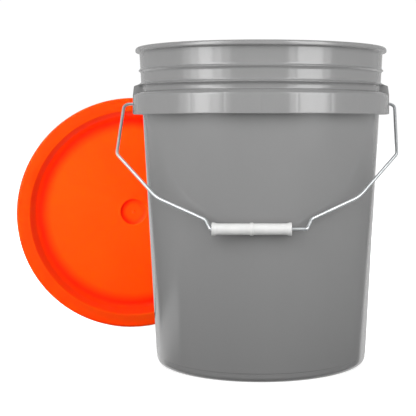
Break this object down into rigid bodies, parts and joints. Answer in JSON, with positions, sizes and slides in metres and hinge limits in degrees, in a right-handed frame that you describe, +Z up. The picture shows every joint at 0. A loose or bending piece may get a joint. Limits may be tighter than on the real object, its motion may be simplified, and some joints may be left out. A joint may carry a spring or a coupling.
{
  "type": "plastic fermenting bucket",
  "caption": "Tapered plastic pail with a rolled rim, skirt ring and wire bail with a roller grip, and its loose push-on lid with a gasket, standing on edge behind it.",
  "frame": {"origin": "centre of the pail's base, on the surface it stands on", "axes": "+Z up along the pail's axis; +X along the axis of the bail's pivots; -Y is the front, where the bail hangs"},
  "size_m": [0.493, 0.374, 0.3682],
  "materials": {
    "pail_plastic": "satin moulded polyethylene, grey",
    "galvanised_wire": "galvanised steel wire",
    "grip_plastic": "smooth moulded plastic, white",
    "lid_plastic": "satin moulded polyethylene, orange",
    "gasket_rubber": "soft black rubber"
  },
  "bodies": {
    "pail": {"bucket_body": "pail_plastic"},
    "bail": {"bail_wire": "galvanised_wire"},
    "grip": {"bail_grip": "grip_plastic"},
    "loose_lid": {"lid": "lid_plastic", "lid_gasket": "gasket_rubber"}
  },
  "joints": [
    {"name": "bail_swing", "type": "hinge", "parent": "pail", "child": "bail", "pos_m": [0, 0, 0.3025], "axis": [-1, 0, 0], "range_deg": [0, 267.9]},
    {"name": "grip_spin", "type": "hinge", "parent": "bail", "child": "grip", "pos_m": [-0.0098, -0.13996, 0.16744], "axis": [1, 0, 0], "continuous": true},
    {"name": "lid_lift", "type": "slide", "parent": "pail", "child": "loose_lid", "axis": [0, 0, 1], "range_m": [0, 0.4]}
  ]
}
